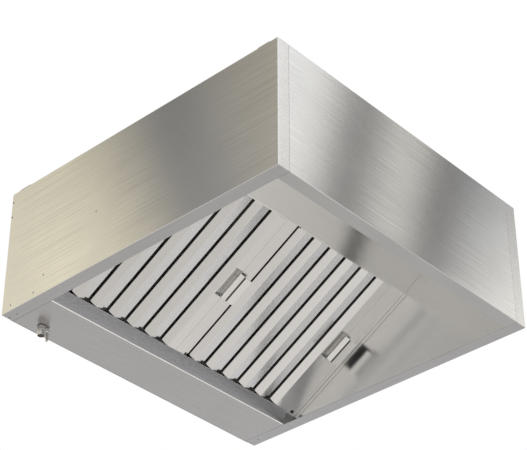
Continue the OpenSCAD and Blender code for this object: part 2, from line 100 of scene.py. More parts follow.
# Soft bands of light that the outer panels mirror. Angles are in degrees: a band's place is its bearing plus the
# lean times its height, taken from the start to the stop
worldValues = {
    "level": 1.1,
    "left": {
        "lean": 0.48, "start": 141.3, "stop": 161.3,
        "stops": [(0.0, "#EBE4D0"), (0.22, "#F9F2DB"), (0.32, "#F3ECD5"), (0.40, "#E1DAC7"), (0.46, "#C2BEB3"),
                  (0.51, "#949496"), (0.56, "#919295"), (0.61, "#ADACAA"), (0.67, "#BDBAB2"), (0.76, "#D2CCBE"),
                  (0.90, "#E6E1D2"), (1.0, "#F0EDE4")]},
    "leftFall": {"low": 32.5, "high": 40, "dim": 0.58},     # dimmer above
    "front": {
        "lean": -0.36, "start": -57, "stop": -43,
        "stops": [(0.0, "#FFFFFF"), (0.15, "#FEFEFC"), (0.23, "#E4E3E0"), (0.31, "#7C7B7A"), (0.36, "#7A7978"),
                  (0.43, "#C8C6C2"), (0.50, "#EAE8E3"), (0.55, "#CECBC6"), (0.59, "#686765"), (0.635, "#646364"),
                  (0.69, "#9C9C9D"), (0.76, "#B6B7B8"), (0.88, "#BCBDBF"), (1.0, "#C2C2C4")]},
    # brighter below, from one place in the lobe on
    "frontLift": {"low": 32, "high": 36, "start": 0.6, "stop": 0.86, "share": 1.0, "tone": "#FFFDF8"},
    "low": "#DEDEDE",
    "overWall": (-0.2, 0.2),    # where the front lobe gives way to the left one, as a share of the depth
    "overLow": (0.0, 0.35),     # where the low part gives way to the lobes, as a share of the height
}


def makeWorld(values):
    world = bpy.data.worlds.new("studio")
    bpy.context.scene.world = world
    world.use_nodes = True
    tree = world.node_tree
    tree.nodes.clear()
    ray = addNode(tree, "ShaderNodeTexCoord").outputs["Generated"]
    axes = addNode(tree, "ShaderNodeSeparateXYZ", {0: ray}).outputs
    bearing = addNode(tree, "ShaderNodeMath", {0: axes["Y"], 1: axes["X"]}, operation="ARCTAN2")
    height = addNode(tree, "ShaderNodeMath", {0: axes["Z"]}, operation="ARCSINE")

    places, tones = {}, {}
    for side in ("left", "front"):
        look = values[side]
        rise = addNode(tree, "ShaderNodeMath", {0: height, 1: look["lean"], 2: bearing}, operation="MULTIPLY_ADD")
        places[side] = addNode(tree, "ShaderNodeMapRange", {
            "Value": rise, "From Min": math.radians(look["start"]),
            "From Max": math.radians(look["stop"])}, clamp=True)
        tones[side] = addNode(tree, "ShaderNodeValToRGB", {"Fac": places[side]})
        ramp = tones[side].color_ramp
        ramp.interpolation = "CARDINAL"
        while len(ramp.elements) < len(look["stops"]):
            ramp.elements.new(0.5)
        for element, (place, tone) in zip(ramp.elements, look["stops"]):
            element.position = place
            element.color = toLinear(tone)

    # Each share goes from its first to its last number while its input goes from low to high
    fall, lift = values["leftFall"], values["frontLift"]
    shares = {}
    for name, given, low, high, first, last in (
            ("dimming", height, math.radians(fall["low"]), math.radians(fall["high"]), 1.0, fall["dim"]),
            ("lower", height, math.radians(lift["low"]), math.radians(lift["high"]), lift["share"], 0.0),
            ("along", places["front"], lift["start"], lift["stop"], 0.0, 1.0),
            ("behind", axes["Y"], *values["overWall"], 0.0, 1.0),
            ("raised", axes["Z"], *values["overLow"], 0.0, 1.0)):
        shares[name] = addNode(tree, "ShaderNodeMapRange", {
            "Value": given, "From Min": low, "From Max": high, "To Min": first, "To Max": last}, clamp=True)

    left = addNode(tree, "ShaderNodeVectorMath", {0: tones["left"], "Scale": shares["dimming"]}, operation="SCALE")
    lifted = addNode(tree, "ShaderNodeMath", {0: shares["lower"], 1: shares["along"]}, operation="MULTIPLY")
    front = addNode(tree, "ShaderNodeMixRGB", {
        "Fac": lifted, "Color1": tones["front"], "Color2": toLinear(lift["tone"])})
    # Behind the wall the left lobe counts, in front of it the front lobe
    bands = addNode(tree, "ShaderNodeMixRGB", {"Fac": shares["behind"], "Color1": front, "Color2": left})
    studio = addNode(tree, "ShaderNodeMixRGB", {
        "Fac": shares["raised"], "Color1": toLinear(values["low"]), "Color2": bands})
    studio = addNode(tree, "ShaderNodeVectorMath", {0: studio, "Scale": values["level"]}, operation="SCALE")
    # The camera, and glass, see plain white; metal mirrors the bands
    path = addNode(tree, "ShaderNodeLightPath").outputs
    clear = addNode(tree, "ShaderNodeMath", {0: path["Is Camera Ray"], 1: path["Is Transmission Ray"]},
                    operation="ADD", use_clamp=True)
    seen = addNode(tree, "ShaderNodeMixRGB", {"Fac": clear, "Color1": studio, "Color2": (1, 1, 1, 1)})
    back = addNode(tree, "ShaderNodeBackground", {"Color": seen, "Strength": 1.0})
    addNode(tree, "ShaderNodeOutputWorld", {"Surface": back})


makeWorld(worldValues)

floorValues = {"drop": -6.5, "reach": 12.0, "sides": 96, "tone": "#F0EFEF", "rough": 0.9}


def makeFloor(values):
    # A flat disc: radius times the cosine and sine of the turn
    turns = np.linspace(0, 2 * np.pi, values["sides"] + 1)[:-1]
    ring = np.column_stack([np.cos(turns), np.sin(turns), np.zeros(values["sides"])]) * values["reach"]
    ring[:, 2] = values["drop"]
    mesh = bpy.data.meshes.new("floor")
    mesh.from_pydata(ring.tolist(), [], [list(range(values["sides"]))])
    floor = bpy.data.objects.new("floor", mesh)
    bpy.context.scene.collection.objects.link(floor)
    material = bpy.data.materials.new("matt_floor_paint")
    material.use_nodes = True
    shader = material.node_tree.nodes["Principled BSDF"]
    shader.inputs["Base Color"].default_value = toLinear(values["tone"])
    shader.inputs["Roughness"].default_value = values["rough"]
    mesh.materials.append(material)


makeFloor(floorValues)

lampValues = {"place": (1.6, -1.8, -3.9), "size": 3.0, "level": 0.2}


def makeLamp(values):
    # A square that shines upwards; its power is its level times pi times its area
    data = bpy.data.lights.new("softbox", "AREA")
    data.shape = "SQUARE"
    data.size = values["size"]
    data.energy = values["level"] * math.pi * values["size"] ** 2
    lamp = bpy.data.objects.new("softbox", data)
    lamp.matrix_world = Matrix.Translation(values["place"]) @ Matrix.Rotation(math.pi, 4, "X")
    lamp.visible_camera = False
    bpy.context.scene.collection.objects.link(lamp)


makeLamp(lampValues)
bpy.context.scene.view_settings.view_transform = "Standard"
print("studio ready")

# Finishes by the record's material slots. A tone gives way to its stain along the grain; a zone's tone takes over
# where the place, measured along its direction in metres, passes low, over the length soft
finishes = {
    # cold-rolled sheet, brushed long: fine lines along the depth, which smear what the sides mirror; inside it is
    # painted lighter as light, on the rim painted darker as shade
    "side_sheet": {
        "name": "brushed_stainless_sides_painted_light_and_shade", "tone": "#EFEEEC", "stain": "#CFCECC", "rough": 0.12, "uneven": 0.45,
        "grainAlong": (0, 1, 0), "inner": {"tone": "#FBFBFB", "stain": "#F2F2F2", "rougher": 0.1},
        "rim": {"tone": "#BFBFC2", "stain": "#B0B0B3"}},
    # the same sheet with its lines along the width: brighter and a little more like a mirror; inside and on the rim
    # it is painted darker as shade
    "front_sheet": {
        "name": "brushed_stainless_front_painted_shade", "tone": "#F2F2F0", "stain": "#CCCBCA", "rough": 0.095, "uneven": 0.6,
        "grainAlong": (1, 0, 0), "inner": {"tone": "#DAD9D9", "stain": "#CECDCD", "rougher": 0.12},
        "rim": {"tone": "#C2C2C4", "stain": "#B4B4B6"}},
    # sheet as rolled by the mill: an even, dull grey sheen
    "inner_sheet": {
        "name": "mill_stainless_inner", "tone": "#C8C7C5", "stain": "#B8B7B5", "rough": 0.28, "uneven": 0.4,
        "grainAlong": (1, 0, 0)},
    # sheet rolled smooth: a soft mirror without lines
    "slope_sheet": {
        "name": "smooth_stainless_slope", "tone": "#D2D1D0", "stain": "#C8C7C6", "rough": 0.2, "uneven": 0.3,
        "grainAlong": (1, 0, 0), "relief": 0.04},
    # brushed along the slope: pale satin; what stands behind the slots is painted nearly black as shade
    "rail_sheet": {
        "name": "brushed_stainless_rails_painted_shade", "tone": "#E2E1E0", "stain": "#D8D7D6", "rough": 0.24, "uneven": 0.3,
        "grainAlong": (0, -0.866, 0.5), "relief": 0.05,
        # painted shade: every part deeper than about 20 mm behind the filters' faces turns nearly black
        "zones": [{"along": (0, 0.5, 0.866), "low": -0.0287, "soft": 0.002, "tone": "#2C2B29"}]},
    # brushed along its length: a blurred grey mirror; the fold and the lip's edge carry painted white highlights
    "trough_sheet": {
        "name": "brushed_stainless_trough_painted_highlights", "tone": "#C1C0C2", "stain": "#B3B2B4", "rough": 0.26, "uneven": 0.4,
        "grainAlong": (1, 0, 0),
        # painted highlights: white along the bottom fold and along the lip's edge
        "zones": [{"along": (0, -0.566, -0.824), "low": 0.0866, "soft": 0.0001, "tone": "#FFFFFF"},
                  {"along": (0, -0.3536, 0.9354), "low": 0.0978, "soft": 0.0002, "tone": "#FFFFFF"}]},
    # bright annealed sheet: clear satin facets; the returns and the tray's sides are painted dark as shade
    "filter_sheet": {
        "name": "annealed_stainless_filters_painted_shade", "tone": "#DFDEDE", "stain": "#D7D6D6", "rough": 0.2, "uneven": 0.2,
        "grainAlong": (0, -0.866, 0.5), "relief": 0.03,
        # painted shade: faces deeper than about 9.5 mm behind the filter's face turn dark grey
        "zones": [{"along": (0, 0.5, 0.866), "low": -0.0392, "soft": 0.0015, "tone": "#6A6865"}]},
    # the same sheet, painted a darker grey as the shade behind the slots, and rougher
    "rear_baffle_sheet": {
        "name": "annealed_stainless_rear_painted_shade", "tone": "#C4C3C1", "stain": "#B4B3B1", "rough": 0.42, "uneven": 0.2,
        "grainAlong": (0, -0.866, 0.5), "relief": 0.05},
    # pressed annealed sheet, painted brighter than the filters as the light it catches; the pan is painted darker as
    # the shade in its recess, and the turn into the lip is painted dark as shade
    "handle_sheet": {
        "name": "pressed_stainless_handles_painted_light_and_shade", "tone": "#F4F3F2", "stain": "#ECEBEA", "rough": 0.24, "uneven": 0.2,
        "grainAlong": (0, -0.866, 0.5),
        # painted shade in the pan, then painted shade along the turn into the lip; the last two zones give the lip
        # beyond that strip its own tone
        "zones": [{"along": (0, 0.5, 0.866), "low": -0.0425, "soft": 0.002, "tone": "#B4B3B1"},
                  {"along": (0, -0.5, -0.866), "low": 0.0612, "soft": 0.001, "tone": "#767573"},
                  {"along": (0, -0.5, -0.866), "low": 0.0678, "soft": 0.0004, "tone": "#E4E3E2"},
                  {"along": (1, 0, 0), "low": 0.4490, "soft": 0.0004, "tone": "#E4E3E2"}]},
    # turned rod: small matt heads, darker than the sheet
    "rivet_steel": {
        "name": "turned_stainless_rivets", "tone": "#8A8886", "stain": "#777573", "rough": 0.42, "uneven": 0.0,
        "grainAlong": (0, 0, 1)},
    # plate as rolled: plain light grey
    "bracket_steel": {
        "name": "mill_stainless_brackets", "tone": "#BDBBB8", "stain": "#A9A7A4", "rough": 0.32, "uneven": 0.2,
        "grainAlong": (1, 0, 0)},
    # turned brass under nickel: crisp, slightly warm highlights
    "cock_steel": {
        "name": "nickel_plated_cock", "tone": "#D2D0CC", "stain": "#C6C4C0", "rough": 0.16, "uneven": 0.0,
        "grainAlong": (0, 0, 1)},
    # turned brass: a warm yellow end in the cock's side
    "plug_brass": {
        "name": "turned_brass_plug", "tone": "#D3B473", "stain": "#BC9C5C", "rough": 0.25, "uneven": 0.0,
        "grainAlong": (1, 0, 0)},
    # moulded rubber: matt black without sheen
    "gasket_rubber": {
        "name": "matt_rubber_gasket", "tone": "#2A2A2A", "stain": "#222222", "rough": 0.7, "uneven": 0.0,
        "grainAlong": (1, 0, 0), "metal": False},
    # rolled sheet with its lines upright: the bands run up the collar
    "collar_sheet": {
        "name": "rolled_stainless_collar", "tone": "#C9C8C5", "stain": "#B9B8B5", "rough": 0.24, "uneven": 0.5,
        "grainAlong": (0, 0, 1)},
}

grainValues = {
    "across": 520.0,    # cycles a metre across the grain: lines 2 mm apart, coarser than real ones, to show
    "along": 2.6,       # cycles a metre along the grain: strokes of about 400 mm
    "detail": 3.0,
    "crisp": 0.6,
    "stain": (0.3, 0.7, 0.75),      # the lines' range that stains, and the most that it does
    "clouds": 5.0,      # cycles a metre: patches of about 200 mm
    "cloudDetail": 2.0,
    "cloudShare": 0.5,
    "gloss": (0.25, 0.75, 0.03),    # the lines' range that changes the roughness, and by how much
    "turn": 0.25,       # the highlight stretches across the lines
    "relief": 0.1,
    "depth": 0.0002,
}

canopyFaces = {"side": 0.4992, "front": -0.9992, "rim": 0.0008}     # metres, just inside the outer faces


def canopyZones(tree, place, faces):
    # Two masks: 1 on the canopy's outer side and front faces, and 1 on the folded lower rim; the rest is the inside.
    # They place the painted light and shade of the inside and rim tones
    axes = addNode(tree, "ShaderNodeSeparateXYZ", {0: place}).outputs
    aside = addNode(tree, "ShaderNodeMath", {0: axes["X"]}, operation="ABSOLUTE")
    side = addNode(tree, "ShaderNodeMath", {0: aside, 1: faces["side"]}, operation="GREATER_THAN")
    front = addNode(tree, "ShaderNodeMath", {0: axes["Y"], 1: faces["front"]}, operation="LESS_THAN")
    outer = addNode(tree, "ShaderNodeMath", {0: side, 1: front}, operation="MAXIMUM")
    rim = addNode(tree, "ShaderNodeMath", {0: axes["Z"], 1: faces["rim"]}, operation="LESS_THAN")
    return outer, rim


def makeMaterial(look, grain):
    # Tone and roughness follow noise that is drawn out along the grain, on top of slow clouds
    material = bpy.data.materials.new(look["name"])
    material.use_nodes = True
    tree = material.node_tree
    shader = tree.nodes["Principled BSDF"]
    place = addNode(tree, "ShaderNodeTexCoord").outputs["Object"]
    along = np.array(look["grainAlong"], float)
    # Slow along the grain, fast across it: place times fast, plus its share along the grain times (slow - fast)
    share = addNode(tree, "ShaderNodeVectorMath", {0: place, 1: tuple(along)}, operation="DOT_PRODUCT")
    slide = addNode(tree, "ShaderNodeVectorMath", {
        0: tuple(along * (grain["along"] - grain["across"])), "Scale": share.outputs["Value"]}, operation="SCALE")
    fast = addNode(tree, "ShaderNodeVectorMath", {0: place, 1: (grain["across"],) * 3, 2: slide},
                   operation="MULTIPLY_ADD")
    lines = addNode(tree, "ShaderNodeTexNoise", {
        "Vector": fast, "Scale": 1.0, "Detail": grain["detail"], "Roughness": grain["crisp"]}).outputs["Fac"]
    clouds = addNode(tree, "ShaderNodeTexNoise", {
        "Vector": place, "Scale": grain["clouds"], "Detail": grain["cloudDetail"]}).outputs["Fac"]
    low, high, most = grain["stain"]
    streaks = addNode(tree, "ShaderNodeMapRange", {
        "Value": lines, "From Min": low, "From Max": high, "To Min": 0.0, "To Max": most}, clamp=True)
    stained = addNode(tree, "ShaderNodeMath", {0: clouds, 1: grain["cloudShare"], 2: streaks},
                      operation="MULTIPLY_ADD", use_clamp=True)
    low, high, spread = grain["gloss"]
    rough = addNode(tree, "ShaderNodeMapRange", {
        "Value": lines, "From Min": low, "From Max": high,
        "To Min": look["rough"] - spread, "To Max": look["rough"] + spread}, clamp=True)
    tones = [addNode(tree, "ShaderNodeMixRGB", {
        "Fac": stained, "Color1": toLinear(zone["tone"]), "Color2": toLinear(zone["stain"])})
        for zone in (look, look.get("inner"), look.get("rim")) if zone]
    tone = tones[0]
    if "inner" in look:
        # The canopy's sheets have painted light and shade as their own tones on the rim and inside, and inside they
        # are also rougher
        rougher = look["inner"]["rougher"]
        outer, rim = canopyZones(tree, place, canopyFaces)
        dull = addNode(tree, "ShaderNodeMixRGB", {"Fac": rim, "Color1": tones[1], "Color2": tones[2]})
        tone = addNode(tree, "ShaderNodeMixRGB", {"Fac": outer, "Color1": dull, "Color2": tones[0]})
        more = addNode(tree, "ShaderNodeMath", {0: outer, 1: -rougher, 2: rougher}, operation="MULTIPLY_ADD")
        rough = addNode(tree, "ShaderNodeMath", {0: rough, 1: more}, operation="ADD")
    # The zones paint highlights and shade onto the tone
    for zone in look.get("zones", ()):
        depth = addNode(tree, "ShaderNodeVectorMath", {0: place, 1: zone["along"]}, operation="DOT_PRODUCT")
        past = addNode(tree, "ShaderNodeMapRange", {
            "Value": depth.outputs["Value"], "From Min": zone["low"],
            "From Max": zone["low"] + zone["soft"]}, clamp=True)
        tone = addNode(tree, "ShaderNodeMixRGB", {"Fac": past, "Color1": tone, "Color2": toLinear(zone["tone"])})
    tree.links.new(tone.outputs[0], shader.inputs["Base Color"])
    tree.links.new(rough.outputs[0], shader.inputs["Roughness"])
    if look.get("metal", True):
        shader.inputs["Metallic"].default_value = 1.0
        shader.inputs["Anisotropic"].default_value = look["uneven"]
        shader.inputs["Anisotropic Rotation"].default_value = grain["turn"]
        axis = addNode(tree, "ShaderNodeCombineXYZ", {"X": along[0], "Y": along[1], "Z": along[2]})
        tree.links.new(axis.outputs[0], shader.inputs["Tangent"])
        bump = addNode(tree, "ShaderNodeBump", {
            "Strength": look.get("relief", grain["relief"]), "Distance": grain["depth"], "Height": lines})
        tree.links.new(bump.outputs[0], shader.inputs["Normal"])
    return material


materials = {slot: makeMaterial(look, grainValues) for slot, look in finishes.items()}
for row in frame["record"]["subparts"]:
    mesh = frame["nodes"][row["node"]].data
    mesh.materials.clear()
    mesh.materials.append(materials[row["material_slot"]])
print("materials ready:", len(materials))

mergeGap = 2e-6     # metres: points closer than this are one
drill = {"ahead": 5.0, "deep": 12.0, "around": 24}      # a hole's pin starts this far before the sheet's face


def leftOf(a, b):
    # Unit vector on the left-hand side of the run from a to b
    run = (b - a) / np.linalg.norm(b - a)
    return np.array([-run[1], run[0]])


def bendLine(line, radii, thick, fine=6):
    # Face line and back line of a folded sheet: straight runs joined by arcs about one centre, the back line
    # one thickness to the left of the face line
    line = np.array(line, float)
    face, back = [line[0]], [line[0] + thick * leftOf(line[0], line[1])]
    for before, corner, after, radius in zip(line[:-2], line[1:-1], line[2:], radii):
        sideIn, sideOut = leftOf(before, corner), leftOf(corner, after)
        turn = math.atan2(sideIn[0] * sideOut[1] - sideIn[1] * sideOut[0], sideIn @ sideOut)
        if abs(turn) < 1e-6 or radius == 0:
            middle = (sideIn + sideOut) / (1 + sideIn @ sideOut)
            face.append(corner)
            back.append(corner + thick * middle)
            continue
        sign = math.copysign(1, turn)
        runIn = np.array([sideIn[1], -sideIn[0]])
        centre = corner - runIn * radius * math.tan(abs(turn) / 2) + sign * radius * sideIn
        angles = np.linspace(0, turn, fine + 1)
        spoke = -sign * np.column_stack([sideIn[0] * np.cos(angles) - sideIn[1] * np.sin(angles),
                                         sideIn[0] * np.sin(angles) + sideIn[1] * np.cos(angles)])
        face.extend(centre + radius * spoke)
        back.extend(centre + (radius - sign * thick) * spoke)
    face.append(line[-1])
    back.append(line[-1] + thick * leftOf(line[-2], line[-1]))
    return np.array(face), np.array(back)


def gridFaces(rows, columns, wrapRows=False, wrapColumns=False):
    # Quads of a grid of points numbered row by row
    i = np.arange(rows if wrapRows else rows - 1)[:, None]
    j = np.arange(columns if wrapColumns else columns - 1)[None, :]
    a, b = i * columns + j, i * columns + (j + 1) % columns
    c, d = ((i + 1) % rows) * columns + (j + 1) % columns, ((i + 1) % rows) * columns + j
    return np.stack([a, b, c, d], -1).reshape(-1, 4)


def carrySheet(face, back, starts, ends, place, stations=None, bendStation=None):
    # Folded sheet carried along its third axis: every point of the profile goes from its own start to its own end
    ring = np.vstack([face, back[::-1]])
    first = np.concatenate([starts, starts[::-1]])
    last = np.concatenate([ends, ends[::-1]])
    shares = np.linspace(0, 1, 2) if stations is None else np.asarray(stations, float)
    travel = first[None, :] + (last - first)[None, :] * shares[:, None]
    profile = np.broadcast_to(ring, (len(shares),) + ring.shape)
    if bendStation is not None:
        profile = bendStation(profile.copy(), travel)
    points = place(profile[..., 0], profile[..., 1], travel).reshape(-1, 3)
    count, half = len(ring), len(face)
    sides = gridFaces(len(shares), count, wrapColumns=True)
    j = np.arange(half - 1)
    cap = np.stack([j, j + 1, count - 2 - j, count - 1 - j], -1)
    return points, np.vstack([sides, cap[:, ::-1], cap + (len(shares) - 1) * count])


def foldedSheet(line, radii, thick, starts, ends, place, fine=6, **more):
    # A profile given by its corners and outer radii, carried from its starts to its ends, each one number or a
    # function of the profile's points
    face, back = bendLine(line, radii, thick, fine)
    wide = np.ones(len(face))
    startAt = starts(face) if callable(starts) else starts * wide
    endAt = ends(face) if callable(ends) else ends * wide
    return carrySheet(face, back, startAt, endAt, place, **more)


def lathe(profile, place, around=48):
    # Profile (radius, height) turned round an axis; points with radius 0 close the poles
    profile = np.array(profile, float)
    angles = np.linspace(0, 2 * np.pi, around + 1)[:-1]
    radius, height = profile[:, :1], profile[:, 1:]
    points = place(radius * np.cos(angles), radius * np.sin(angles), height + 0 * angles).reshape(-1, 3)
    closed = profile[0, 0] > 0
    return points, gridFaces(len(profile), around, wrapRows=closed, wrapColumns=True)


def joinShells(shells):
    # Several closed shells as one list of points and faces
    points = np.vstack([p for p, _ in shells])
    shift = np.cumsum([0] + [len(p) for p, _ in shells[:-1]])
    return points, np.vstack([f + s for (_, f), s in zip(shells, shift)])


def makeMesh(name, shell):
    # A shell in millimetres as a tidy mesh in metres
    points, faces = shell
    mesh = bpy.data.meshes.new(name)
    mesh.from_pydata((points / 1000).tolist(), [], faces.tolist())
    tidyMesh(mesh)
    return mesh


def tidyMesh(mesh):
    # Doubled points merged, slivers dissolved, faces turned outwards
    work = bmesh.new()
    work.from_mesh(mesh)
    bmesh.ops.remove_doubles(work, verts=work.verts, dist=mergeGap)
    bmesh.ops.dissolve_degenerate(work, edges=work.edges, dist=mergeGap)
    bmesh.ops.recalc_face_normals(work, faces=work.faces)
    work.to_mesh(mesh)
    work.free()


def cutAway(mesh, cutters):
    # The cutters, closed shells, are taken out of the mesh
    pieces = []
    for label, data in (("blank", mesh), ("cutters", makeMesh("cutters", joinShells(cutters)))):
        thing = bpy.data.objects.new(label, data)
        bpy.context.scene.collection.objects.link(thing)
        pieces.append(thing)
    cut = pieces[0].modifiers.new("cut", "BOOLEAN")
    cut.operation = "DIFFERENCE"
    cut.solver = "EXACT"
    cut.object = pieces[1]
    depsgraph = bpy.context.evaluated_depsgraph_get()
    result = bpy.data.meshes.new_from_object(pieces[0].evaluated_get(depsgraph))
    for thing in pieces:
        bpy.data.objects.remove(thing)
    return result


finish = {"sharp": 52, "edge": 0.18, "bevelFrom": 50, "segments": 2, "flatWeight": 100}     # degrees, millimetres


def addPiece(name, mesh, slot, body, nodes, sharp=finish["sharp"], edge=finish["edge"]):
    # Finished piece riding on its body: smooth across bends, deburred edges, normals true on the flats
    mesh.name = name
    mesh.polygons.foreach_set("use_smooth", np.ones(len(mesh.polygons), bool))
    mesh.set_sharp_from_angle(angle=math.radians(sharp))
    mesh.materials.clear()
    mesh.materials.append(materials[slot])
    piece = bpy.data.objects.new(name, mesh)
    bpy.context.scene.collection.objects.link(piece)
    soften = piece.modifiers.new("edges", "BEVEL")
    soften.limit_method, soften.angle_limit = "ANGLE", math.radians(finish["bevelFrom"])
    soften.width, soften.segments = edge / 1000, finish["segments"]
    flats = piece.modifiers.new("flats", "WEIGHTED_NORMAL")
    flats.keep_sharp, flats.weight = True, finish["flatWeight"]
    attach(piece, body)
    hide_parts(*nodes)
    return piece


def pin(centre, axis, radius, low=0.0, high=drill["deep"], around=drill["around"]):
    # Closed cylinder along an axis, for holes: the centre, plus radius times cosine and sine of the turn across the
    # axis, plus the height along it
    along = np.array(axis, float)
    side = np.cross(along, (0.0, 0.0, 1.0) if abs(along[2]) < 0.5 else (1.0, 0.0, 0.0))
    other = np.cross(along, side)

    def place(a, b, c):
        return np.array(centre) + a[..., None] * side + b[..., None] * other + c[..., None] * along
    return lathe([(0, low), (radius, low), (radius, high), (0, high)], place, around)


def block(low, high):
    # Closed box between two corners, for notches
    low, high = np.array(low, float), np.array(high, float)
    corners = np.array([[i, j, k] for i in (0, 1) for j in (0, 1) for k in (0, 1)])
    faces = np.array([[0, 1, 3, 2], [4, 6, 7, 5], [0, 4, 5, 1], [2, 3, 7, 6], [0, 2, 6, 4], [1, 5, 7, 3]])
    return low + corners * (high - low), faces


# Sizes shared with the metalwork, in millimetres
hood = {"half": 500.0, "deep": 1000.0, "high": 400.0, "sheet": 1.0, "panelHalf": 459.1, "flange": 40.0,
        "return": 30.0, "slopeRivets": ((-161.6812, 59.0897), (-356.4521, 171.5408), (-584.3333, 303.1080))}
slope = {"turn": math.radians(30), "foot": (-169.4146, 41.6134)}
slope["up"] = (-math.cos(slope["turn"]), math.sin(slope["turn"]))
slope["out"] = (-math.sin(slope["turn"]), -math.cos(slope["turn"]))


def onSlope(x, out, up):
    # Point out in front of the filters' faces and up the slope
    return np.stack([x + 0 * up, slope["foot"][0] + up * slope["up"][0] + out * slope["out"][0],
                     slope["foot"][1] + up * slope["up"][1] + out * slope["out"][1]], -1)


def slopeBlock(low, high):
    # The same closed box, laid on the slope
    corners, faces = block(low, high)
    return onSlope(corners[:, 0], corners[:, 1], corners[:, 2]), faces


def alongX(y, z, x):
    # A profile in depth and height, carried along the wall
    return np.stack([x, y + 0 * x, z + 0 * x], -1)


# Canopy: two side trays, and a front sheet between their returns
sideValues = {
    "bend": 2.4,            # outer radius of the folds
    "fine": 5,
    "joinHole": 5.5,
    "joinPlaces": ((-995, 370), (-995, 320), (-5, 370), (-5, 320)),
    "rivetHole": 5.0,
    "troughRivets": ((-126, 18), (-35, 18)),
    "tabPlaces": ((-478, -37), (-478, -7)),
    "hangPlaces": ((-484, -62), (-484, -38), (-484, -962), (-484, -938)),
    "hangHole": 5.0,
    "hangPin": (390.0, 20.0),   # where the pins of the hangers' holes start, and how long they are
}


def sideTray(values):
    # Tray in two parameters: alpha turns round the panel's four corners, beta turns from the wall over the fold;
    # a point is its corner's centre plus radius times sine of beta outwards, and radius times (1 - cosine of
    # beta) deep, and past the fold it runs straight to the return's edge
    bend, sheet, fine = values["bend"], hood["sheet"], values["fine"]
    centres = np.array([[-bend, hood["high"] - bend], [bend - hood["deep"], hood["high"] - bend],
                        [bend - hood["deep"], bend], [-bend, bend]])
    depthIn = np.array([hood["return"], hood["return"], hood["flange"], hood["flange"]])
    depthOut = np.array([hood["return"], hood["flange"], hood["flange"], hood["return"]])
    step = np.linspace(0, 1, fine + 1)
    alpha = (np.pi / 2) * (np.arange(4)[:, None] + step[None, :])
    centre = np.repeat(centres, fine + 1, axis=0)
    depth = (depthIn[:, None] + (depthOut - depthIn)[:, None] * step).ravel()
    spoke = np.column_stack([np.cos(alpha).ravel(), np.sin(alpha).ravel()])
    beta = (np.pi / 2) * step

    def skin(radius):
        rise = bend - radius * np.cos(beta)
        fold = centre[None] + radius * np.sin(beta)[:, None, None] * spoke[None]
        folded = np.concatenate([np.broadcast_to(rise[:, None, None], fold.shape[:2] + (1,)), fold], -1)
        edge = np.concatenate([depth[:, None], centre + radius * spoke], -1)
        return np.concatenate([folded, edge[None]])

    outer, inner = skin(bend), skin(bend - sheet)
    points = np.concatenate([outer, inner[::-1]]).reshape(-1, 3)
    around = len(centre)
    faces = gridFaces(2 * (fine + 2), around, wrapColumns=True)
    wallOuter = (np.arange(4) * (fine + 1))[None]
    wallInner = (2 * fine + 3) * around + wallOuter
    points[:, 0] -= hood["half"]
    return points, np.vstack([faces, wallOuter[:, ::-1], wallInner])


def sideMesh(side):
    # One side panel with its holes; side is -1 on the left and 1 on the right
    values = sideValues
    mesh = makeMesh("side", sideTray(values))
    reach, (top, long) = hood["half"] + drill["ahead"], values["hangPin"]
    rivets = hood["slopeRivets"] + values["troughRivets"]
    holes = [pin((-reach, y, z), (1, 0, 0), values["joinHole"] / 2) for y, z in values["joinPlaces"]]
    holes += [pin((-reach, y, z), (1, 0, 0), values["rivetHole"] / 2) for y, z in rivets]
    holes += [pin((x, y, -drill["ahead"]), (0, 0, 1), values["rivetHole"] / 2) for x, y in values["tabPlaces"]]
    holes += [pin((x, y, top), (0, 0, 1), values["hangHole"] / 2, high=long) for x, y in values["hangPlaces"]]
    mesh = cutAway(mesh, holes)
    if side > 0:
        mesh.transform(Matrix.Scale(-1, 4, (1, 0, 0)))
        tidyMesh(mesh)
    return mesh


addPiece("left_side_skin", sideMesh(-1), "side_sheet", "root", ["left_side_panel"])
addPiece("right_side_skin", sideMesh(1), "side_sheet", "root", ["right_side_panel"])

frontValues = {"bend": 2.2, "hemBend": 1.6, "hem": 8.0}


def frontSheet(values):
    # Top return, front face, bottom flange and a hem that stands up behind it
    deep, high, wide = hood["deep"], hood["high"], hood["panelHalf"]
    line = [(hood["return"] - deep, high), (-deep, high), (-deep, 0), (hood["flange"] - deep, 0),
            (hood["flange"] - deep, values["hem"])]
    return foldedSheet(line, [values["bend"], values["bend"], values["hemBend"]], hood["sheet"], -wide, wide, alongX)


addPiece("front_skin", makeMesh("front", frontSheet(frontValues)), "front_sheet", "root", ["front_panel"])
print("canopy ready")

# Grease trough along the wall
troughValues = {"deep": 155.0, "lip": 41.0, "lean": 15.5, "upstand": 45.0, "lipBend": 1.8, "rearBend": 2.0,
                "wallHalf": 457.0, "floorFrom": 0.01, "floorFade": 1.5, "drain": (-391.0, -40.0),
                "drainHole": 18.6, "drainAround": 40}


def troughSheet(values):
    # Leaning lip, floor and upstand at the wall
    line = [(-values["deep"] - values["lean"], values["lip"]), (-values["deep"], 0), (-hood["sheet"], 0),
            (-hood["sheet"], values["upstand"])]

    def halfWidth(face):
        # The bottom reaches over the side flanges' edges, the walls stop short of them
        level = np.clip(1 - (face[:, 1] - values["floorFrom"]) / values["floorFade"], 0, 1)
        return values["wallHalf"] + (hood["panelHalf"] - values["wallHalf"]) * level

    return foldedSheet(line, [values["lipBend"], values["rearBend"]], hood["sheet"], lambda f: -halfWidth(f),
                       halfWidth, alongX)


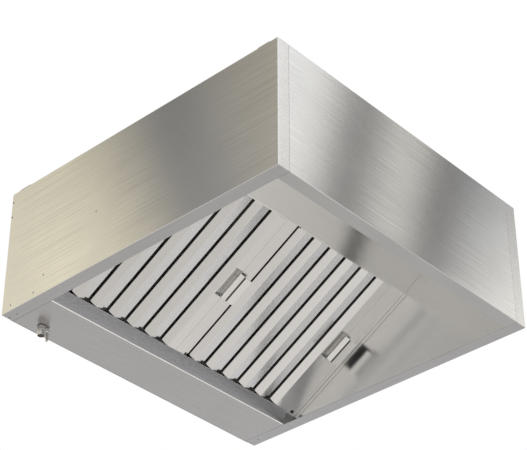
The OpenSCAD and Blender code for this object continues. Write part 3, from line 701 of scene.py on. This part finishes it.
drainPin = pin(troughValues["drain"] + (-drill["ahead"],), (0, 0, 1), troughValues["drainHole"] / 2,
               around=troughValues["drainAround"])
troughMesh = cutAway(makeMesh("trough", troughSheet(troughValues)), [drainPin])
addPiece("trough_skin", troughMesh, "trough_sheet", "root", ["grease_trough"])
print("trough ready")

# Sheets of the slope: the panel above the filters, the filler on the left and the rail on the right
blankValues = {"low": 492.4, "seam": 0.3, "hem": 15.0, "bend": 2.0, "half": 498.7, "below": 2.0}


def blankSheet(values):
    # Up the slope in its plane, then back under the top panel
    seam, low = values["seam"], values["low"]
    rise = hood["high"] - values["below"] - slope["foot"][1] + seam * math.cos(slope["turn"])
    high = rise / math.sin(slope["turn"])
    ends = onSlope(0.0, np.array([seam, seam]), np.array([low, high]))[:, 1:]
    line = [tuple(ends[0]), tuple(ends[1]), (ends[1][0] - values["hem"], ends[1][1])]
    return foldedSheet(line, [values["bend"]], hood["sheet"], -values["half"], values["half"], alongX)


addPiece("blanking_skin", makeMesh("blank", blankSheet(blankValues)), "slope_sheet", "root", ["upper_slope_panel"])

railValues = {
    "fillerEdge": -414.0, "railEdge": 486.5, "inner": 499.0, "rear": 26.3, "support": 19.0, "bend": 1.8,
    "low": -7.0, "high": 503.0, "notch": (14.0, 9.0), "notchReach": 3.0, "pocket": (479.7, 520.0),
    "pocketDeep": 40.0, "rivetHole": 5.0,
}


def railLine(side, values):
    # Channel from the side panel to the filters' support; side is -1 for the filler and 1 for the rail
    edge, rear, inner = values["fillerEdge" if side < 0 else "railEdge"], values["rear"], side * values["inner"]
    line = [(inner, -rear - hood["sheet"]), (inner, 0), (edge, 0), (edge, -rear),
            (edge - side * values["support"], -rear)]
    return line if side > 0 else line[::-1]


def railMesh(side, values):
    # The upper end clears the filters' pocket, and the filler has a notch at its lower edge
    shell = foldedSheet(railLine(side, values), [values["bend"]] * 3, hood["sheet"], values["low"], values["high"],
                        onSlope)
    (width, length), (pocketLow, pocketHigh) = values["notch"], values["pocket"]
    edge, reach = values["fillerEdge"], values["notchReach"]
    cutters = [slopeBlock((-hood["half"], -values["pocketDeep"], pocketLow),
                          (hood["half"], -values["rear"], pocketHigh))]
    if side < 0:
        cutters.append(slopeBlock((edge - width, -reach, 0), (edge, reach, length)))
    cutters += [pin((side * (hood["half"] + drill["ahead"]), y, z), (-side, 0, 0), values["rivetHole"] / 2)
                for y, z in hood["slopeRivets"]]
    return cutAway(makeMesh("rail", shell), cutters)


addPiece("filler_skin", railMesh(-1, railValues), "rail_sheet", "root", ["left_filler_panel"])
addPiece("rail_skin", railMesh(1, railValues), "rail_sheet", "root", ["right_filter_rail"])
print("slope ready")

# Lift-out filters: front baffles and handles
baffleValues = {
    "count": 5, "first": 0.5, "pitch": 68.0, "wide": 58.0, "ridge": 24.998, "rise": 9.0, "lip": 5.0,
    "lastWide": 54.5, "high": 487.7, "corner": (18.0, 5.0), "notch": (14.0, 9.0),
    "notchGap": 0.01, "edgeBend": 1.5, "ridgeBend": 3.0, "places": (-405.0, 45.0),
}


def baffleStart(x, wide, values, notched):
    # Lower end: a slanted cut at the left corner, a square notch at the right one
    run, rise = values["corner"]
    width, length = values["notch"]
    slant = np.clip(rise * (1 - x / run), 0, rise)
    return np.where(x > wide - width, length, slant) if notched else slant


def baffleShell(left, wide, values, last):
    # A low roof: from the left lip up to the ridge, then down to the right lip, or level in the last one
    ridge, rise, lip = values["ridge"], values["rise"], values["lip"]
    run = values["corner"][0]
    low = [(run, -rise * (1 - run / ridge)), (0, -rise), (0, -rise - lip)]
    if last:
        line = [(wide, 0), (ridge, 0)] + low
        radii = [values["ridgeBend"], 0, values["edgeBend"]]
    else:
        edge, gap = wide - values["notch"][0], values["notchGap"]
        drop = -rise * (edge - ridge) / (wide - ridge)
        line = [(wide, -rise - lip), (wide, -rise), (edge + gap, drop), (edge - gap, drop), (ridge, 0)] + low
        radii = [values["edgeBend"], 0, 0, values["ridgeBend"], 0, values["edgeBend"]]
    return foldedSheet(line, radii, hood["sheet"], lambda f: baffleStart(f[:, 0], wide, values, not last),
                       values["high"], lambda x, w, t: onSlope(x + left, w, t), fine=4)


handleValues = {
    "end": 393.5, "wide": 24.0, "low": 201.0, "long": 97.0, "deep": 9.0, "lip": 35.5, "high": 20.0, "hem": 3.0,
    "slant": ((0.0, 1.0), (10.0, 12.0)),    # foot and head of the wall's slanted part
    "lipStart": 2.0, "lipStop": 8.0, "topBend": 3.0, "slantBend": 2.0, "panBend": 3.0, "hemBend": 1.2,
    "ease": 6.0, "easeFrom": 0.12, "easeShare": 0.07, "easeSteps": 9,
    "window": (-20.0, 5.0), "windowTo": 400.0,      # what is cut out of the last baffle for the pan
}


def bafflesMesh(place, values, handle):
    # The row of roofs, with the handle's window in the last one
    shells = [baffleShell(place + values["first"] + k * values["pitch"], values["wide"], values, False)
              for k in range(values["count"])]
    lastPlace = place + values["first"] + values["count"] * values["pitch"]
    behind, before = handle["window"]
    window = slopeBlock((place + handle["end"] - handle["wide"], behind, handle["low"]),
                        (place + handle["windowTo"], before, handle["low"] + handle["long"]))
    last = cutAway(makeMesh("last", baffleShell(lastPlace, values["lastWide"], values, True)), [window])
    mesh = makeMesh("baffles", joinShells(shells))
    work = bmesh.new()
    work.from_mesh(mesh)
    work.from_mesh(last)
    work.to_mesh(mesh)
    work.free()
    return mesh


def handleShell(place, values):
    # Pan, wall with a slanted face, and lip in one pressing; near the pan's ends its depth eases in as half a
    # cosine wave
    end, wide, deep, sheet = values["end"], values["wide"], values["deep"], hood["sheet"]
    low, top, high = values["low"], values["low"] + values["long"], values["high"]
    (footAt, foot), (headAt, head) = values["slant"]
    line = [(end + values["lip"], high), (end + headAt, high), (end + headAt, head), (end + footAt, foot),
            (end + footAt, -deep), (end - wide, -deep), (end - wide, -sheet), (end - wide - values["hem"], -sheet)]
    radii = [values["topBend"], values["slantBend"], values["slantBend"], values["panBend"], values["panBend"],
             values["hemBend"]]

    def starts(face):
        return np.where(face[:, 1] > 0, low + values["lipStart"], low)

    def ends(face):
        return np.where(face[:, 1] > 0, top - values["lipStop"], top)

    def ease(profile, travel):
        inside = np.clip(np.minimum(travel - low, top - travel) / values["ease"], 0, 1)
        share = values["easeFrom"] + (1 - values["easeFrom"]) * (0.5 - 0.5 * np.cos(np.pi * inside))
        below = profile[..., 1] < -sheet
        profile[..., 1] = np.where(below, (profile[..., 1] + sheet) * share - sheet, profile[..., 1])
        return profile

    near, steps = values["easeShare"], values["easeSteps"]
    stations = np.concatenate([np.linspace(0, near, steps), np.linspace(1 - near, 1, steps)])
    return foldedSheet(line, radii, sheet, starts, ends, lambda x, w, t: onSlope(x + place, w, t),
                       stations=stations, bendStation=ease)


for number, place in enumerate(baffleValues["places"], 1):
    body = "filter_%d" % number
    addPiece(body + "_baffles_skin", bafflesMesh(place, baffleValues, handleValues), "filter_sheet", body,
             [body + "_front_baffles"])
    addPiece(body + "_handle_skin", makeMesh("handle", handleShell(place, handleValues)), "handle_sheet", body,
             [body + "_handle"])
print("filters ready")

# Duct collar and stiffeners on top
collarValues = {"place": (0.0, -400.0), "inner": 124.0, "outer": 125.0, "flange": 146.0, "low": 399.0,
                "high": 450.0, "fold": 2.5, "foldSteps": 6, "beadLow": 433.0, "beadHigh": 443.0, "bead": 1.8,
                "beadSteps": 9, "around": 128, "rivetAt": 135.0, "rivets": 8, "rivetHole": 5.0}


def upright(x, y):
    # Places a turned shape on the vertical axis through x and y
    return lambda a, b, height: np.stack([a + x, b + y, height], -1)


def collarShell(values):
    # Flange, fold as a quarter circle, and a wall whose bead swells as one half wave of a sine
    step = np.linspace(0, 1, values["beadSteps"])
    heights = values["beadLow"] + (values["beadHigh"] - values["beadLow"]) * step
    swell = values["bead"] * np.sin(np.pi * step)
    fold = (np.pi / 2) * np.linspace(0, 1, values["foldSteps"])
    centre, top = values["outer"] + values["fold"], values["low"] + hood["sheet"] + values["fold"]
    profile = [(values["inner"], values["low"]), (values["flange"], values["low"]),
               (values["flange"], values["low"] + hood["sheet"])]
    profile += list(zip(centre - values["fold"] * np.sin(fold), top - values["fold"] * np.cos(fold)))
    profile += list(zip(values["outer"] + swell, heights))
    profile += [(values["outer"], values["high"]), (values["inner"], values["high"])]
    profile += list(zip(values["inner"] + swell, heights[::-1]))
    return lathe(profile, upright(*values["place"]), values["around"])


def collarMesh(values):
    # The collar with its ring of rivet holes
    turns = 2 * np.pi * np.arange(values["rivets"]) / values["rivets"]
    x, y = values["place"]
    at, under = values["rivetAt"], values["low"] - drill["ahead"]
    holes = [pin((x + at * math.cos(turn), y + at * math.sin(turn), under), (0, 0, 1), values["rivetHole"] / 2)
             for turn in turns]
    return cutAway(makeMesh("collar", collarShell(values)), holes)


addPiece("duct_collar_skin", collarMesh(collarValues), "collar_sheet", "root", ["duct_collar"])

stiffenerValues = {"places": (-150.0, -750.0), "half": 469.7, "wide": 15.0, "foot": 15.0, "high": 18.0,
                   "bend": 2.5}


def stiffenerShell(place, values):
    # Hat section: foot, wall, top, wall and foot
    low, high = hood["high"] - hood["sheet"], hood["high"] - hood["sheet"] + values["high"]
    edge = values["wide"] + values["foot"]
    line = [(place - edge, low), (place - values["wide"], low), (place - values["wide"], high),
            (place + values["wide"], high), (place + values["wide"], low), (place + edge, low)]
    return foldedSheet(line, [values["bend"]] * 4, hood["sheet"], -values["half"], values["half"], alongX)


hats = joinShells([stiffenerShell(place, stiffenerValues) for place in stiffenerValues["places"]])
addPiece("top_stiffeners_skin", makeMesh("hats", hats), "inner_sheet", "root", ["top_stiffeners"])
print("top ready")

# Drain cock under the trough
drainValues = {
    "axis": (-391.0, -40.0), "flow": 3.0, "neck": 9.0, "neckTop": 8.0, "neckChamfer": 0.5, "mouth": 2.2,
    "thread": 1.5, "threadDeep": 0.45, "body": 11.5, "bodyTop": -1.0, "bodyEnd": -14.0, "chamfer": 0.6,
    "spigot": 11.0, "barb": 0.8, "barbs": 3, "barbStep": 0.1, "shoulder": 2.0, "end": -30.0, "cup": 9.0,
    "cupTop": -16.0, "plugAt": -8.0, "plugBore": 4.55, "plugBack": 9.05, "boreEnd": 30.0, "boreAround": 40,
    "gasket": (9.1, 12.5, 1.0), "around": 64,
}


def cockProfile(values):
    # Bore, threaded neck as a triangle wave, body, and a hose spigot whose barbs rise sharply and fall slowly
    threadTop = values["neckTop"] - values["neckChamfer"]
    crests = np.arange(2 * int(threadTop / values["thread"]) + 1)
    heights = threadTop - values["thread"] / 2 * crests
    neck = values["neck"] - values["threadDeep"] * (crests % 2 == 0)
    slim, chamfer = values["spigot"] - values["barb"], values["chamfer"]
    profile = [(values["flow"], values["neckTop"]), (slim - values["mouth"], values["neckTop"])]
    profile += list(zip(neck, heights))
    profile += [(values["neck"], values["bodyTop"]), (values["body"] - chamfer, values["bodyTop"]),
                (values["body"], values["bodyTop"] - chamfer), (values["body"], values["bodyEnd"] + chamfer),
                (values["body"] - chamfer, values["bodyEnd"]), (slim, values["bodyEnd"])]
    start = values["bodyEnd"] - values["shoulder"]
    run = (start - values["end"]) / values["barbs"]
    for number in range(values["barbs"]):
        top = start - run * number
        profile += [(slim, top), (values["spigot"], top - chamfer), (slim, top - run + values["barbStep"])]
    return profile + [(slim - chamfer, values["end"]), (values["cup"], values["end"]),
                      (values["cup"], values["cupTop"]), (values["flow"], values["cupTop"])]


def cockMesh(values):
    # The turned body with the plug's bore across it
    body = makeMesh("cock", lathe(cockProfile(values), upright(*values["axis"]), values["around"]))
    bore = pin(values["axis"] + (values["plugAt"],), (1, 0, 0), values["plugBore"], -values["plugBack"],
               values["boreEnd"], values["boreAround"])
    return cutAway(body, [bore])


def gasketShell(values):
    # A flat ring
    inner, outer, thick = values["gasket"]
    return lathe([(inner, -thick), (outer, -thick), (outer, 0), (inner, 0)], upright(*values["axis"]),
                 values["around"])


addPiece("drain_cock_body_skin", cockMesh(drainValues), "cock_steel", "root", ["drain_cock_body"], sharp=28,
         edge=0.1)
addPiece("drain_gasket_skin", makeMesh("gasket", gasketShell(drainValues)), "gasket_rubber", "root",
         ["drain_gasket"], edge=0.3)
print("drain ready")

# Pieces that keep the metalwork's own shape, and how wide their edges are broken
edgeBreaks = {
    "left_joint_strip": 0.2, "right_joint_strip": 0.2, "back_panel": 0.2, "top_panel": 0.2, "filter_top_rail": 0.3,
    "filter_centre_bar": 0.3, "filter_rest_rail": 0.3, "trough_end_left": 0.25, "trough_end_right": 0.25,
    "filter_1_frame": 0.25, "filter_2_frame": 0.25, "filter_1_rear_baffles": 0.25, "filter_2_rear_baffles": 0.25,
    "hanger_brackets": 0.5, "wall_fixing_bar": 0.5, "rail_rivets": 0.3, "trough_rivets": 0.3, "collar_rivets": 0.3,
    "hanger_rivets": 0.3, "drain_locknut": 0.6, "drain_lever": 0.5, "lever_screw": 0.4, "drain_plug": 0.3,
}

# The left filter's tray is drawn in at its right edge, so that the slot beside it shows as wide as the others:
# points past the first place, in metres, move by the second
drawnIn = {"filter_1_frame": (0.030, -0.0045)}

flatTurn = 0.4      # degrees: triangles that turn less than this are one face


def smoothedCopy(node):
    # The node's mesh with doubled points merged and its flat triangles joined
    mesh = frame["nodes"][node].data.copy()
    if node in drawnIn:
        past, move = drawnIn[node]
        points = np.empty(len(mesh.vertices) * 3)
        mesh.vertices.foreach_get("co", points)
        points[0::3] += move * (points[0::3] > past)
        mesh.vertices.foreach_set("co", points)
    work = bmesh.new()
    work.from_mesh(mesh)
    bmesh.ops.remove_doubles(work, verts=work.verts, dist=mergeGap)
    bmesh.ops.dissolve_limit(work, angle_limit=math.radians(flatTurn), verts=work.verts, edges=work.edges)
    work.to_mesh(mesh)
    work.free()
    return mesh


slots = {row["node"]: row["material_slot"] for row in frame["record"]["subparts"]}
bodies = {node: body for body, nodes in frame["record"]["behaviour"]["bodies"].items() for node in nodes}
for node, edge in edgeBreaks.items():
    addPiece(node + "_finished", smoothedCopy(node), slots[node], bodies[node], [node], edge=edge)
print("other pieces ready")
